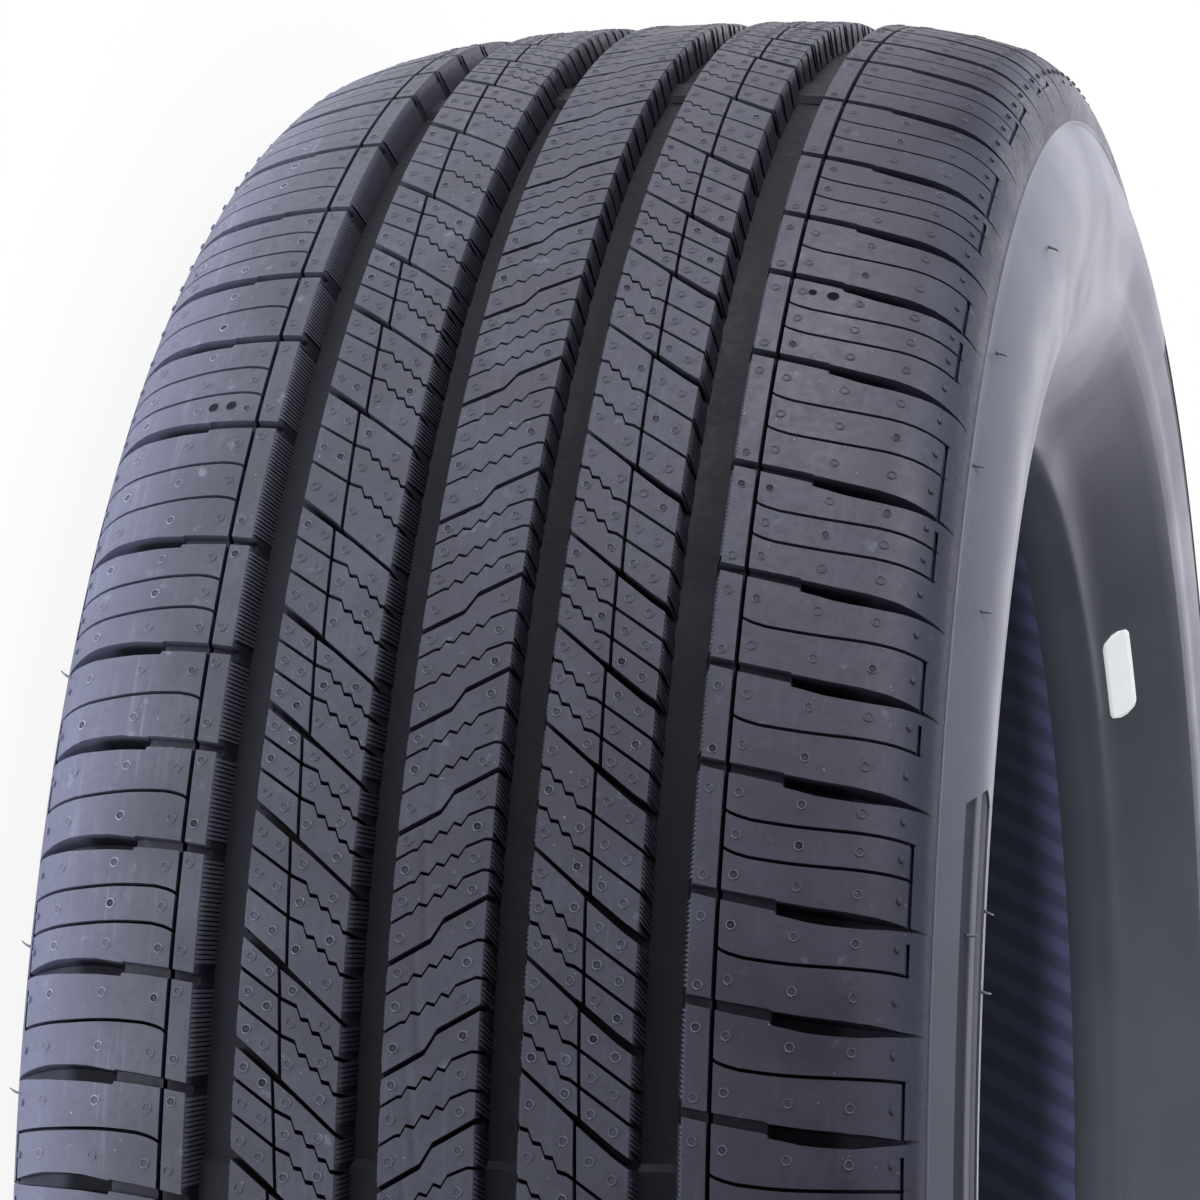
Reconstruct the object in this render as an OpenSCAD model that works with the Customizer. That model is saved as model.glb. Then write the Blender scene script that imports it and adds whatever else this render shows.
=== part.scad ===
// Passenger car tyre, size 225/55 R18, lying on one sidewall with its axle line along Z.
// "Across" is the distance along the axle from the middle of the tread, "along" runs round the tread.
// The tyre is moulded in one piece, so it is one node: a turned section with the tread cut into it.

/* [Tyre size] */
// Width over the two sidewalls at their widest point, with no rim and no load.
section_width = 233; // [228:0.5:244]
// Diameter over the middle of the tread.
outer_diameter = 704.7; // [692:0.1:716]
// Diameter of the bead land, where a rim's seat grips it half-way along its taper.
bead_land_diameter = 460.4; // [456:0.1:462]
// Width over the two bead heels.
bead_width = 172; // [166:1:178]
// Length of each cylindrical bead land along the axle.
bead_land_length = 8; // [6:0.5:9]
// How far the widest point lies below the tread's middle, along the radius.
widest_drop = 66; // [62:1:70]

/* [Section] */
// Drop of the tread surface at the outer wide groove.
crown_drop = 2.3; // [1.5:0.1:3]
// Drop of the tread surface where the shoulder curve starts.
shoulder_drop = 9.9; // [8.5:0.1:11]
// Radius of the shoulder curve.
shoulder_radius = 25; // [23:0.5:27]
// Rubber and belts left under the bottom of a wide groove.
under_tread = 6.6; // [5:0.2:9]
// Thickness of the sidewall at its widest point.
sidewall_thickness = 8.5; // [6:0.5:10]
// Height of the raised rib that guards the rim's edge.
rim_guard_height = 1.6; // [1:0.1:2.2]

/* [Tread] */
// Width of the middle rib.
middle_rib = 22.2; // [20:0.2:24]
// Width of each inner wide groove at the tread surface.
inner_groove = 10.3; // [9:0.1:11.5]
// Width of each second rib.
second_rib = 24.9; // [23:0.2:27]
// Width of each outer wide groove at the tread surface.
outer_groove = 11.7; // [10:0.1:13]
// Width of the narrow strip outside each outer groove.
edge_strip = 5.9; // [5:0.1:7]
// Depth of the wide grooves.
groove_depth = 7.9; // [7:0.1:8.5]
// Width of the fine slits that run round the tread.
ring_slit = 0.9; // [0.8:0.1:1.2]
// Depth of the fine slits and of the cuts through the ribs.
cut_depth = 6.2; // [5:0.1:7]
// Width of the shoulder's cross grooves.
cross_groove = 3.3; // [2.6:0.1:3.8]
// Width of the thin cross slits in the shoulder.
cross_slit = 0.7; // [0.6:0.1:1.1]
// Width of the kinked cut through the middle rib, measured along the tread.
middle_cut = 1.5; // [1.1:0.1:2]
// How much nearer to the middle one second rib's cuts stand than the other's.
rib_offset = 1.8; // [1:0.2:2.4]
// Height of the wear bars in the wide grooves.
wear_bar = 1.6; // [1.4:0.1:1.8]

/* [Pitches] */
// Length of a short pitch round the tread, before the ring is closed.
short_pitch = 25.6; // [24:0.1:27]
// Length of a middle pitch.
middle_pitch = 30.7; // [29:0.1:32]
// Length of a long pitch.
long_pitch = 36.6; // [34:0.1:38]
// Times that the order of pitches goes round the tyre; one short pitch more follows every third.
order_repeats = 6; // [6:3:6]
// How far the cross grooves of the two shoulders are out of step, along the tread.
shoulder_shift = 19.3; // [16:0.1:22]

/* [Hidden] */

R = outer_diameter / 2;
half = section_width / 2;
land_r = bead_land_diameter / 2;
heel = bead_width / 2;

// Edges of ribs and grooves, across from the middle.
e1 = middle_rib / 2;
e2 = e1 + inner_groove;
e3 = e2 + second_rib;
e4 = e3 + outer_groove;
e5 = e4 + edge_strip;
mid_slit = (e2 + e3) / 2 + 1.9;
shoulder_start = e5 + 28;

// Drop of the tread surface: a square and a fourth power term through the two given drops.
k4 = (shoulder_drop / pow(shoulder_start, 2) - crown_drop / pow(e4, 2))
     / (pow(shoulder_start, 2) - pow(e4, 2));
k2 = crown_drop / pow(e4, 2) - k4 * pow(e4, 2);
function drop(u) = k2 * pow(u, 2) + k4 * pow(u, 4);
function slope(u) = atan(2 * k2 * u + 4 * k4 * pow(u, 3));

// Shoulder curve, tangent to the tread surface, down to the edge line where it points straight in.
sh_a = slope(shoulder_start);
sh_c = [shoulder_start - shoulder_radius * sin(sh_a), R - shoulder_drop - shoulder_radius * cos(sh_a)];
edge = [sh_c[0] + shoulder_radius, sh_c[1]];
shoulder = [for (t = [0.36, 0.7]) let (a = (90 - sh_a) * (1 - t)) sh_c + shoulder_radius * [cos(a), sin(a)]];

// Sidewall: one arc from the edge line over the widest point to the rim guard.
wide_r = R - widest_drop;
dy = edge[1] - wide_r;
dx = half - edge[0];
wall_radius = (dy * dy + dx * dx) / (2 * dx);
wall_c = [half - wall_radius, wide_r];
wall_top = asin(dy / wall_radius);
guard_a = -8;
wall = [for (a = [wall_top - 0.5 : -5 : guard_a]) wall_c + wall_radius * [cos(a), sin(a)]];
guard = [for (s = [[-9, 0], [-10, 1], [-13, 1], [-15, 0]])
         wall_c + (wall_radius + s[1] * rim_guard_height) * [cos(s[0]), sin(s[0])]];

// Bead, from the flange face round the heel to the toe.
toe = heel - 16.5;
land_end = toe + 1 + bead_land_length;
bead = [[heel + 21, land_r + 32], [heel + 14.5, land_r + 24], [heel + 7, land_r + 16],
        [heel + 1.2, land_r + 10], [heel, land_r + 4.5],
        [heel - 1.4, land_r + 1.6], [heel - 4, land_r + (heel - 4 - land_end) * tan(5)],
        [land_end, land_r], [toe + 1, land_r], [toe, land_r + 1.2]];

// Inner face, from the toe past the sidewall to the middle of the crown.
inner_r = wall_radius - sidewall_thickness;
liner = concat([[toe + 1.5, land_r + 7], [toe + 7, land_r + 18], [toe + 19, land_r + 30]],
               [for (a = [-15 : 9 : wall_top + 4]) wall_c + inner_r * [cos(a), sin(a)]],
               [[shoulder_start + 3, R - shoulder_drop - groove_depth - under_tread - 0.5],
                [e5 + 8, R - drop(e5) - groove_depth - under_tread - 1.5],
                [e3, R - drop(e3) - groove_depth - under_tread],
                [0, R - groove_depth - under_tread]]);

// One wide groove: its two edges across and the lean of its two walls.
function wide(a, b, lean_a, lean_b) = [[a, R - drop(a)],
    [a + groove_depth * tan(lean_a), R - drop(a) - groove_depth],
    [b - groove_depth * tan(lean_b), R - drop(b) - groove_depth], [b, R - drop(b)]];
// One fine slit that runs round the tread.
function slit(a) = [[a - ring_slit / 2, R - drop(a)], [a - ring_slit / 2, R - drop(a) - cut_depth],
    [a + ring_slit / 2, R - drop(a) - cut_depth], [a + ring_slit / 2, R - drop(a)]];

half_section = concat(wide(e1, e2, 8, 16), wide(e3, e4, 7, 18), slit(e5),
                      [[e5 + 16, R - drop(e5 + 16)], [shoulder_start, R - shoulder_drop]],
                      shoulder, [edge], wall, guard, bead, liner);
n = len(half_section);
section = concat([for (i = [0 : n - 1]) [half_section[i][1], half_section[i][0]]],
                 [for (i = [n - 2 : -1 : 0]) [half_section[i][1], -half_section[i][0]]]);

// Order of the pitches round the tyre: 0 short, 1 middle, 2 long.
order = [2, 2, 1, 0, 1, 2, 1, 0, 0, 1, 0, 0];
kinds = [for (b = [1 : order_repeats]) each concat(order, b % 3 == 0 ? [0] : [])];
lengths = [for (k = kinds) [short_pitch, middle_pitch, long_pitch][k]];
function total(v, i) = i < 0 ? 0 : v[i] + total(v, i - 1);
turn = 360 / total(lengths, len(lengths) - 1);
first_angle = -79.8;
mm_angle = 360 / (PI * outer_diameter);

// A blade that cuts the tread. Its plan is a list of [across, along] points, its flat floor stands
// at floor_drop under the tread's middle at the place across called hinge, and leans down from there.
module blade(plan, floor_drop, hinge = 0, lean = 0) {
  along = plan[floor(len(plan) / 2)][1];
  rotate([0, 0, -along * mm_angle]) translate([R - floor_drop, 0, hinge]) rotate([0, -lean, 0])
    rotate([90, 0, 90]) linear_extrude(cut_depth + 12)
      polygon([for (p = plan) [along - p[1], (p[0] - hinge) / cos(lean)]]);
}

// Plan of a band with a width along the tread, which may change from end to end.
function band(line, w1, w2) = let (m = len(line) - 1)
  concat([for (i = [0 : m]) line[i] + [0, (w1 + (w2 - w1) * i / m) / 2]],
         [for (i = [m : -1 : 0]) line[i] - [0, (w1 + (w2 - w1) * i / m) / 2]]);

// The bend of a cross groove: how far it has moved along the tread at a place across.
function bend(u) = let (t = (u - e5) / 30) t < 0 ? 2 * t * 3 : 3.8 * (1 - pow(1 - min(t, 1.3), 2));

// Cross groove in one shoulder: a shallow stretch through the strip, then the deep groove.
module cross_cut(at) {
  near = [for (u = [e4 - 2.4, e5 + 12.8]) [u, at - bend(u)]];
  blade(band(near, 1.7, 2.1), 6.8, e4, 5);
  far = [for (u = [e5 + 12.3, e5 + 42]) [u, at - bend(u) - 0.4]];
  blade(band(far, 1.1 * cross_groove, 0.5 * cross_groove), 12.4, e5 + 12.3, 18.5);
}

// Thin slit in one shoulder, as a straight blade.
module cross_slit_cut(at) {
  blade(band([[e5 - 0.3, at + 0.9], [e5 + 39.5, at]], cross_slit, cross_slit), 7.6, e5, 18);
}

// Slanted cut through a second rib: wide outside its kink, narrow inside it.
module rib_cut(kink) {
  fall = 8.3 / (e3 - mid_slit);
  rise = 12.7 / (mid_slit - e2);
  tip = 8.3 + rise * (kink - e2 + 2.8);
  end = 8.3 - fall * (e3 + 1.8 - kink);
  blade([[e2 - 2.8, tip + 0.45], [kink - 0.6, 9.2], [e3 + 1.8, end + 1.4],
         [e3 + 1.8, end - 1.4], [kink - 0.6, 7.9], [e2 - 2.8, tip - 0.45]], cut_depth + 0.6);
}

// Kinked cut through the middle rib.
module middle_rib_cut() {
  rise = 5.6 / (e1 - 1.3);
  blade(band([[-e1 - 1.6, -7.9 - rise * 1.6], [-1.3, -2.3], [1.3, 2.3], [e1 + 1.6, 7.9 + rise * 1.6]],
             middle_cut, middle_cut), cut_depth - 0.4);
}

// How far down a pitch its thin shoulder slits stand: one in a short pitch, two in the others.
function slits(kind) = kind == 0 ? [0.51] : [0.36, 0.655];

module tread_cuts() {
  for (i = [0 : len(kinds) - 1])
    rotate([0, 0, first_angle + turn * total(lengths, i - 1)]) {
      pitch = lengths[i] * turn / mm_angle;
      s = shoulder_shift / 2;
      middle_rib_cut();
      rib_cut(mid_slit - rib_offset);
      rotate([180, 0, 0]) rib_cut(mid_slit);
      cross_cut(s);
      rotate([180, 0, 0]) cross_cut(s);
      for (m = slits(kinds[i])) {
        cross_slit_cut(s - bend(e5 + 16) - m * pitch);
        rotate([180, 0, 0]) cross_slit_cut(s - bend(e5 + 16) + m * pitch);
      }
    }
}

// Wear bar across one wide groove, given by its two edges, on one side of the middle.
module bar(a, b, side) {
  mid = (a + b) / 2;
  translate([R - drop(mid) - groove_depth - 1.5, 0, side * mid]) rotate([0, -side * slope(mid), 0])
    translate([0, -6, (a - b) / 2 + 0.6]) cube([wear_bar + 1.5, 12, b - a - 1.2]);
}

// Wear bars at six places round the tyre.
module wear_bars() {
  for (i = [0 : 5], side = [-1, 1]) rotate([0, 0, first_angle + 60 * i]) {
    bar(e1, e2, side);
    bar(e3, e4, side);
  }
}

module tyre() color("#3b3c42") {
  difference() {
    rotate_extrude($fn = 180) polygon(section);
    tread_cuts();
  }
  wear_bars();
}

tyre();
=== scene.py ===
"""A road tyre lying on one sidewall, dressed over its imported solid.

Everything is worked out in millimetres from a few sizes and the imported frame, and set down in metres.
Places on the tyre are given by three numbers: across (from the middle plane, along Z), along (arc length
round the tread, counted on the outer diameter) and radius.
"""

import math

import bpy
import numpy as np
from bpy.props import FloatProperty, FloatVectorProperty, PointerProperty
from mathutils import Matrix, Vector


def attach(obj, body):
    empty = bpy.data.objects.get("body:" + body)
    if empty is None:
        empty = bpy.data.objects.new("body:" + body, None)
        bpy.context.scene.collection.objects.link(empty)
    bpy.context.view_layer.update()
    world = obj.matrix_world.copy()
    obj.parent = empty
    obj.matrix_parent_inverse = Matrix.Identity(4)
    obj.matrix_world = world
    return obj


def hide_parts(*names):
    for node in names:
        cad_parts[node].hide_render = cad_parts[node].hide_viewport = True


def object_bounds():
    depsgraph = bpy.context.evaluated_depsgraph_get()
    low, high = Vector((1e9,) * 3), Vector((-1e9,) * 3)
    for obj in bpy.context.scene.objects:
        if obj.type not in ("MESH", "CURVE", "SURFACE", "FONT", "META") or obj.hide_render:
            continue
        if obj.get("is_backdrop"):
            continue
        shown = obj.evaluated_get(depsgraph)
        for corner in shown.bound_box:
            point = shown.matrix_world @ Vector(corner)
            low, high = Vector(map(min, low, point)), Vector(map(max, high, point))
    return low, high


bl_info = {
    "name": "Road tyre",
    "version": (1, 0, 0),
    "blender": (4, 5, 0),
    "location": "View3D > Sidebar > Tyre",
    "description": "Dresses a packed tyre with its tread blocks, sidewalls, inner liner and vents",
    "category": "Add Mesh",
}

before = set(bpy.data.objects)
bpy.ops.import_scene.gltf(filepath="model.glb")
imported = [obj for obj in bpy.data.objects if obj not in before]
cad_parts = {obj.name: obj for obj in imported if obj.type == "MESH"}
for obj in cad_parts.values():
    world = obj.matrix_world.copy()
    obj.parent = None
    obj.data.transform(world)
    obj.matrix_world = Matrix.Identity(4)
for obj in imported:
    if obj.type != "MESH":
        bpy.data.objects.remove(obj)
CAD_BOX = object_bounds()
MM = 0.001
# In millimetres: the room that trimmed vents need inside the solid's box, the radius and the length round
# of the tread's top, and half the width over the sidewalls.
VENT_ROOM = 0.24
R = min(CAD_BOX[1].x, CAD_BOX[1].y) / MM - VENT_ROOM
TURN = 2 * math.pi * R
HALF = CAD_BOX[1].z / MM


def linear(hex_code):
    """An sRGB hex colour as linear red, green, blue and alpha."""
    parts = [int(hex_code[i:i + 2], 16) / 255 for i in (1, 3, 5)]
    return tuple(c / 12.92 if c <= 0.04045 else ((c + 0.055) / 1.055) ** 2.4 for c in parts) + (1.0,)


def size(name, description, default):
    """A length in millimetres that a user may change."""
    return FloatProperty(name=name, description=description + ", in millimetres", default=default, min=0.0)


def paint(name, description, hex_code):
    """A colour that a user may change, given as sRGB hex."""
    return FloatVectorProperty(name=name, description=description, subtype="COLOR", size=3,
                               min=0.0, max=1.0, default=linear(hex_code)[:3])


class TreadSizes(bpy.types.PropertyGroup):
    middle_rib: size("Middle rib", "Width of the middle rib", 22.2)
    inner_groove: size("Inner groove", "Width of a groove beside the middle rib", 10.3)
    second_rib: size("Second rib", "Width of a second rib", 24.9)
    outer_groove: size("Outer groove", "Width of a groove beside a shoulder", 11.7)
    edge_strip: size("Edge strip", "Width of the strip between outer groove and ring slit", 5.9)
    groove_depth: size("Groove depth", "Depth of the four wide grooves", 7.9)
    cut_depth: size("Cut depth", "Depth of the cuts and slits in ribs and shoulders", 6.4)
    middle_cut: size("Middle cut", "Width of the kinked cut through the middle rib", 1.5)
    ring_slit: size("Ring slit", "Width of the slit round each shoulder", 1.1)
    rib_slit: size("Rib slit", "Width of the fine slits in the ribs", 0.8)
    shoulder_slit: size("Shoulder slit", "Width of the fine slits in the shoulders", 0.88)
    cross_groove: size("Cross groove", "Width of a cross groove in its deep stretch", 3.3)
    tie_bar_depth: size("Tie bar depth", "Depth of a cross groove over its tie bar", 2.0)
    crown_drop: size("Crown drop", "Fall of the tread surface at the outer groove's outer edge", 2.3)
    shoulder_drop: size("Shoulder drop", "Fall of the tread surface where the shoulder curve starts", 9.9)
    shoulder_radius: size("Shoulder radius", "Radius of the curve from tread to sidewall", 25.0)
    shoulder_shift: size("Shoulder shift", "How far the two shoulders are out of step", 19.3)
    comb_step: size("Comb step", "Spacing of the fine serrations on the groove walls", 2.3)
    comb_proud: size("Comb height", "How far the serrations stand out of the groove walls", 0.3)


class WallSizes(bpy.types.PropertyGroup):
    section_width: size("Section width", "Width over the two sidewalls", 233.0)
    widest_drop: size("Widest place", "From the tread's top down to the widest place", 66.0)
    roll_radius: size("Roll", "Radius at which a sidewall starts to roll over towards its bead", 304.5)
    bead_seat: size("Bead seat", "Radius of the bead seat", 230.2)
    bead_width: size("Bead width", "From the middle plane to the flange face of a bead", 87.0)
    guard_height: size("Rim guard", "How far the rim guard stands out", 0.3)
    thickness: size("Sidewall", "Thickness of the sidewall", 8.6)
    under_tread: size("Under-tread", "Rubber and plies below the grooves", 6.5)
    band_depth: size("Band depth", "Depth of the two plain bands in a sidewall", 0.5)


class VentSizes(bpy.types.PropertyGroup):
    ring_radius: size("Vent ring", "Outer radius of the ring that a trimmed vent leaves", 1.3)
    ring_height: size("Vent height", "How far that ring stands out", 0.23)
    whisker_radius: size("Whisker", "Radius of a vent whisker at its foot", 0.42)


class Colours(bpy.types.PropertyGroup):
    tread: paint("Tread", "Rubber of the running surface", "#373843")
    # The groove colour is painted shade, laid low in the grooves and cuts.
    groove: paint("Groove", "Rubber low in the grooves and cuts", "#25262d")
    wall: paint("Sidewall", "Rubber of the sidewalls", "#70727b")
    liner: paint("Liner", "Inner liner", "#262a3b")
    label: paint("Label", "Plain paper label", "#f2f6f4")
    floor: paint("Floor", "Studio floor", "#f4f4f4")


# Lengths of a short, a middle and a long pitch, before they are scaled to close the turn. Their order goes
# round several times, with one short pitch more after every third.
PITCH_LENGTHS = (25.6, 30.7, 36.6)
PITCH_ORDER = (2, 2, 1, 0, 1, 2, 1, 0, 0, 1, 0, 0)
ORDER_REPEATS = 6
# Where that order starts, along the tread.
START = math.radians(79.8) * R
# Where fine slits stand, as shares of a pitch from its lower end: in a short pitch and in a longer one.
# A short pitch leaves out the last. In the second ribs they stand alike in every pitch.
MIDDLE_SLITS = ((0.39, 0.31), (0.73, 0.55), (0.73, 0.80))
SHOULDER_SLITS = ((0.49, 0.345), (0.64, 0.64))
RIB_SLITS = (0.348, 0.666)
# How much nearer the middle the cuts of the upper second rib lie.
UPPER_RIB_SHIFT = 1.8
# From the ring slit to the start of the shoulder's curve. Then places across: the end of a cross groove's
# tie bar, the start of its deep stretch, and the tread's last row.
SHOULDER_FLAT = 28.0
BAR_END, DEEP_START, TREAD_END = 76.4, 76.8, 108.27
SIDES = ((-1, "lower"), (1, "upper"))


def run(depth, lean):
    """How far a wall moves across over a depth: the depth times the tangent of its lean in degrees."""
    return depth * math.tan(math.radians(lean))


def bend(across):
    """How far a cross groove has moved along the tread at a place across, straight between given places."""
    return np.interp(across, (58, 64, 70, 75.5, 85, 95, 104, 108), (-1.2, 0, 1.0, 1.8, 3.3, 3.75, 3.35, 2.6))


def slit_bend(across):
    """The same for a fine shoulder slit, which hooks into the ring slit."""
    return np.interp(across, (63.4, 64, 65, 67, 70, 75, 80, 85, 95, 104, 108),
                     (4.2, 3.5, 2.7, 1.9, 1.1, 0.5, 0.15, 0, 0.1, 0.45, 0.7))


class Tread:
    """Edges, surface and pitches of the tread, worked out from its sizes."""

    def __init__(self, sizes):
        self.sizes = sizes
        self.edge_1 = sizes.middle_rib / 2
        self.edge_2 = self.edge_1 + sizes.inner_groove
        self.edge_3 = self.edge_2 + sizes.second_rib
        self.edge_4 = self.edge_3 + sizes.outer_groove
        # Rim, lean in degrees and facing of the four wide-groove walls of one half. A wall whose groove
        # lies further out than its rim faces 1, and the others -1.
        self.walls = ((self.edge_1, 8, 1), (self.edge_2, 16, -1), (self.edge_3, 7, 1), (self.edge_4, 18, -1))
        self.ring = self.edge_4 + sizes.edge_strip
        self.curve_start = self.ring + SHOULDER_FLAT
        near, far = self.edge_4 ** 2, self.curve_start ** 2
        self.fourth = (sizes.shoulder_drop / far - sizes.crown_drop / near) / (far - near)
        self.second = sizes.crown_drop / near - self.fourth * near
        slope = math.atan(2 * self.second * self.curve_start + 4 * self.fourth * self.curve_start ** 3)
        self.curve_across = self.curve_start - sizes.shoulder_radius * math.sin(slope)
        self.curve_radius = R - sizes.shoulder_drop - sizes.shoulder_radius * math.cos(slope)
        self.corner = (self.curve_across + sizes.shoulder_radius, self.curve_radius)
        self.pitches()

    def pitches(self):
        """Lower end and length of every pitch, sorted upwards round the tread, which are short, and every
        second one. Lengths are scaled so that all pitches close the turn."""
        order = []
        for repeat in range(1, ORDER_REPEATS + 1):
            order += list(PITCH_ORDER) + ([0] if repeat % 3 == 0 else [])
        kind = np.array(order)
        length = np.array(PITCH_LENGTHS)[kind]
        length = length * (TURN / length.sum())
        low = START - np.cumsum(length)
        self.low, self.length, self.short = low[::-1], length[::-1], kind[::-1] == 0
        self.even = (np.arange(len(kind)) % 2 == 0)[::-1]

    def surface(self, across):
        """Radius of the running surface: a square and a fourth power fall from the middle, then the
        shoulder's arc."""
        u = np.abs(across)
        crown = R - self.second * u ** 2 - self.fourth * u ** 4
        reach = np.clip(u - self.curve_across, 0, self.sizes.shoulder_radius)
        arc = self.curve_radius + np.sqrt(self.sizes.shoulder_radius ** 2 - reach ** 2)
        return np.where(u < self.curve_start, crown, arc)

    def groove_line(self, across):
        """Cross groove of a shoulder, along from the lower end of its pitch."""
        return self.sizes.shoulder_shift / 2 - bend(across)

    def slit_line(self, across):
        """Fine slits of a shoulder, which stand a little below the groove's line."""
        return self.sizes.shoulder_shift / 2 - 2.7 + slit_bend(across)

    def stand(self, shares):
        """Share of each pitch at which a slit stands, from its shares for short and for longer ones."""
        return np.where(self.short, *shares)

    def along(self, line, across, side=1, share=0.0):
        """Where a line crosses a place across, in every pitch: the pitch's lower end, and on from it the
        line's own place, turned round for the lower half, and a share of the pitch."""
        return self.low + side * line(across) + share * self.length


def rib_cut_line(across):
    """Slanted cut of a second rib: a flatter outer and a steeper inner stretch, straight in each."""
    return np.interp(across, (19, 21.7, 35.8, 46.3, 49.5), (23.37, 20.9, 8.6, 0.0, -1.9))


# Corners of the fine slits of a second rib and of the middle rib: places across, and along.
STAIR_ACROSS = (19.0, 21.3, 22.4, 23.4, 25.2, 26.3, 28.1, 29.2, 31.0, 32.1, 34.2, 46.3, 49.5)
STAIR_ALONG = (21.6, 21.1, 20.9, 18.6, 18.2, 15.5, 15.2, 12.4, 12.1, 9.2, 8.6, 0.0, -2.3)


def rib_slit_line(across):
    """Fine slit of a second rib: straight outside, stairs inside, through the corners above."""
    return np.interp(across, STAIR_ACROSS, STAIR_ALONG)


WAVE_ACROSS = (-13, -11.1, -7.3, -6.2, -5.0, -3.0, -1.4, 0.4, 1.9, 3.6, 5.1, 9.6, 11.1, 13)
WAVE_ALONG = (-9.1, -7.9, -5.6, -5.5, -3.3, -3.7, -1.1, -1.6, 1.0, 0.4, 2.9, 4.8, 4.7, 5.4)


def middle_slit_line(across):
    """Fine slit of the middle rib: a slope broken by four steps, through the corners above."""
    return np.interp(across, WAVE_ACROSS, WAVE_ALONG)


def middle_cut_line(across):
    """Kinked cut of the middle rib: two parallel stretches and a steeper one between them."""
    return np.interp(across, (-13, -11.1, -1.3, 1.3, 11.1, 13), (-9.0, -7.9, -2.3, 2.3, 7.9, 9.0))


def rib_shift(side):
    """How much further out a place across is looked up on the lines of a second rib's cuts."""
    return 0.0 if side < 0 else UPPER_RIB_SHIFT


def midway(first, second):
    """The line half-way between two lines."""
    return lambda across: 0.5 * (first(across) + second(across))


def value(given, across):
    """A number as it is, or a function of the place across worked out there."""
    return given(across) if callable(given) else given


class Rows:
    """Rows of points that run round a rib. Each has its place across, its fall below the surface, the depth
    of a slit that runs all round, the depth of a leg that runs along part of a pitch, and its sway, how far
    it moves across from one end of a pitch to the other."""

    def __init__(self, tread):
        self.tread, self.made = tread, []

    def add(self, across, fall=0.0, slit=0.0, leg=0.0, sway=0.0):
        self.made.append((across, fall, slit, leg, sway))

    def plain(self, *places):
        """Rows on the surface."""
        for across in places:
            self.add(across)

    def slit(self, centre, half, slope, slit=0.0, leg=0.0, sway=0.0):
        """A slit that runs round: its two rims, and the two edges of its floor, each a slope further in."""
        for across, deep in ((-half, 0), (slope - half, 1), (half - slope, 1), (half, 0)):
            self.add(centre + across, 0.0, deep * slit, deep * leg, sway)

    def wall(self, wall, mirrored=False):
        """Wall of a wide groove, from its foot up to its rim or from the rim down to the foot. A small
        chamfer takes off the rim's edge."""
        rim, lean, facing = self.tread.walls[wall]
        depth = self.tread.sizes.groove_depth
        chamfer_fall, chamfer_reach = 0.12, 0.14
        steps = [(rim + facing * run(fall, lean), fall)
                 for fall in (depth, depth * 0.66, depth * 0.33, chamfer_fall)]
        steps.append((rim - facing * chamfer_reach, 0.0))
        for across, fall in (steps if facing < 0 or mirrored else steps[::-1]):
            self.add(-across if mirrored else across, fall)


class Stations:
    """Stations across a rib, one set for every pitch. Each holds its places and its depths. A dip, a
    function of the place across and the share of the pitch, may lower them all."""

    def __init__(self, tread, side, rows, shift=0.0, dip=None):
        self.tread, self.side, self.shift, self.dip = tread, side, shift, dip
        self.across, self.fall, self.slit, self.leg, self.sway = np.array(rows.made).T
        self.sets = []

    def add(self, line, share, offset=0.0, depth=0.0, end=False, on=None, active=None):
        """One station: its line, its share of the pitch from the lower end, its offset along the tread,
        its depth, whether it closes the pitch below, the pitches that have it, and those with a leg."""
        tread = self.tread
        count = len(tread.low)
        share = np.broadcast_to(share, (count,))
        sway = np.ones(count) if end else share
        across = self.across + self.sway * sway[:, None]
        along = tread.low[:, None] + self.side * line(across + self.shift)
        along = along + (share * tread.length)[:, None] + value(offset, across + self.shift)
        depth = value(depth, across) + np.zeros(across.shape)
        if self.dip:
            depth = depth + self.dip(across, sway[:, None])
        if active is not None:
            depth = np.maximum(depth, self.leg * active[:, None])
        depth = np.maximum(depth, self.slit)
        self.sets.append((across, along, depth, np.ones(count, bool) if on is None else on))

    def cut(self, line, share, width, depth, lean=0.06, on=None, active=(None,) * 4, ends=False, drift=0.0):
        """A cut: two rims and two floor edges. Its walls lean out by a share of its width, and its middle
        may drift along. Width, depth and drift are numbers or functions of the place across."""
        corners = ((-0.5, False), (lean - 0.5, True), (0.5 - lean, True), (0.5, False))
        for corner, (reach, deep) in enumerate(corners):
            def offset(across, reach=reach):
                return reach * value(width, across) + value(drift, across)
            self.add(line, share, offset, depth if deep else 0.0, ends and corner < 2, on, active[corner])

    def grid(self):
        """All stations in order round the tyre: places across, along and radius."""
        *parts, kept = (np.stack(part, 1) for part in zip(*self.sets))
        across, along, depth = (part.reshape(-1, part.shape[-1])[kept.reshape(-1)] for part in parts)
        radius = self.tread.surface(across) - np.maximum(self.fall, depth)
        return self.side * across, along, radius


def place(across, along, radius):
    """Points in metres, as an array, from places across, along and radius in millimetres."""
    turn = along / R
    x, y, z = radius * np.cos(turn), -radius * np.sin(turn), across + 0 * radius
    return np.stack(np.broadcast_arrays(x, y, z), -1) * MM


def grid_faces(rows, columns, wrap, flip=False):
    """Quads of a grid of points, as an array of four corners each, joined end to end if it wraps."""
    index = np.arange(rows * columns).reshape(rows, columns)
    after = np.roll(index, -1, 0) if wrap else index[1:]
    here = index[:len(after)]
    quads = np.stack([here[:, :-1], here[:, 1:], after[:, 1:], after[:, :-1]], -1).reshape(-1, 4)
    return quads[:, ::-1] if flip else quads


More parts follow.
